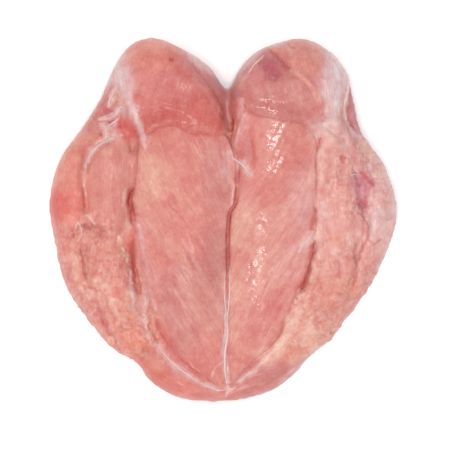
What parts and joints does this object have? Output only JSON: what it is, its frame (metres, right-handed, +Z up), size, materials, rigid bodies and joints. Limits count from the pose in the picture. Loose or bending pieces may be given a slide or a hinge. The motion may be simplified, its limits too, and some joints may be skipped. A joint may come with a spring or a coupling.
{
  "type": "butterfly chicken breast with tenderloins",
  "caption": "Raw butterfly chicken breast, inner side up: joined fillets with a tenderloin in the bed of each, thick shoulder caps, ragged rib edges and a thin tail, flat underneath.",
  "frame": {"origin": "middle of the bounding box in plan, on the plane that the piece rests on", "axes": "+Z up, out of the inner side; +Y along the keel line towards the shoulder end; +X to the right with the shoulder end at the top"},
  "size_m": [0.1734, 0.182, 0.032],
  "materials": {
    "breast_meat": "moist raw meat, pink to cream, slightly translucent",
    "tender_meat": "wet raw meat with fine grain along the muscle, slightly translucent",
    "sinew": "thin whitish membrane and sinew over the meat",
    "fat": "cream-coloured fat in small soft lumps"
  },
  "bodies": {
    "root": {"breast": "breast_meat", "tender_left": "tender_meat", "tender_right": "tender_meat"}
  },
  "joints": []
}
